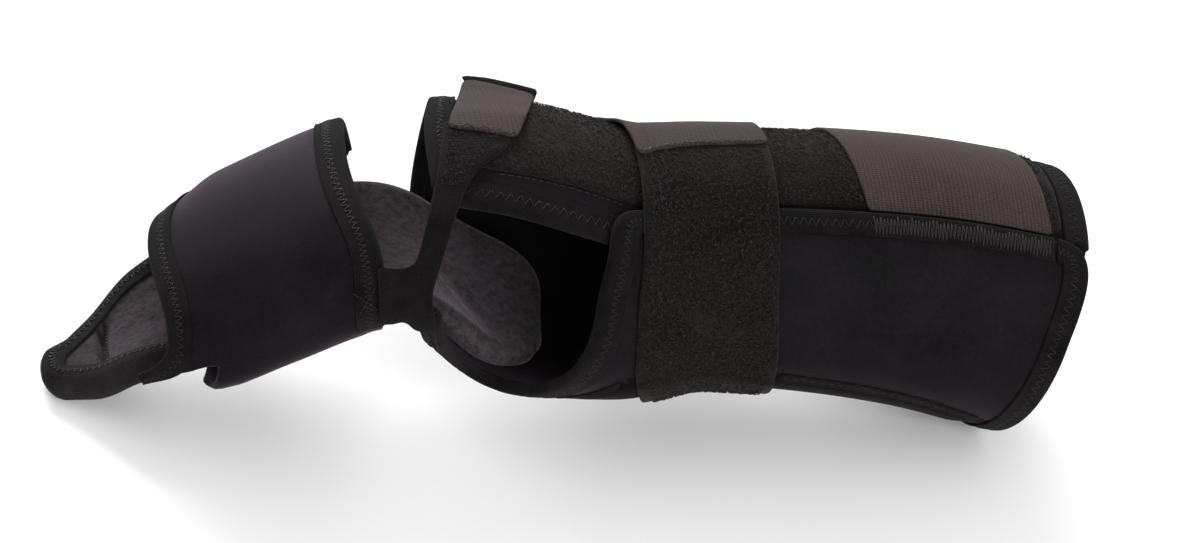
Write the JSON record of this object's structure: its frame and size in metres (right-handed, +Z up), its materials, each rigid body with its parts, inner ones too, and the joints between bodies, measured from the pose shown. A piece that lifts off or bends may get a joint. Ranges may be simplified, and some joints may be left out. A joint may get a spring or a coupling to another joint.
{
  "type": "wrist, hand and finger splint",
  "caption": "Soft right-hand resting splint: a wrap for forearm and wrist, open at the thumb, with hook-and-loop straps, a padded pan under the fingers and a cuff that holds them on it",
  "frame": {"origin": "middle of the splint's length and width, on the surface it lies on", "axes": "+X runs from the fingertips to the forearm, +Y from the thumb side to the little-finger side, +Z up from palm to back of hand"},
  "size_m": [0.2901, 0.0968, 0.0879],
  "materials": {
    "neoprene": "cloth-faced foam rubber, black",
    "tape": "woven edge tape, black",
    "pile": "looped pile, black",
    "hook": "woven hook tape back, brownish grey",
    "padding": "padded lining, dark grey"
  },
  "bodies": {
    "root": {"body_wrap": "neoprene", "end_binding": "tape", "edge_binding": "tape", "loop_panel": "pile", "forearm_tab": "hook", "wrist_strap": "pile", "wrist_tab": "hook", "web_strap": "pile", "knuckle_tab": "hook", "finger_cuff": "neoprene", "cuff_binding_tip": "tape", "cuff_binding_knuckle": "tape", "finger_pan": "padding", "pan_binding": "tape"}
  },
  "joints": []
}
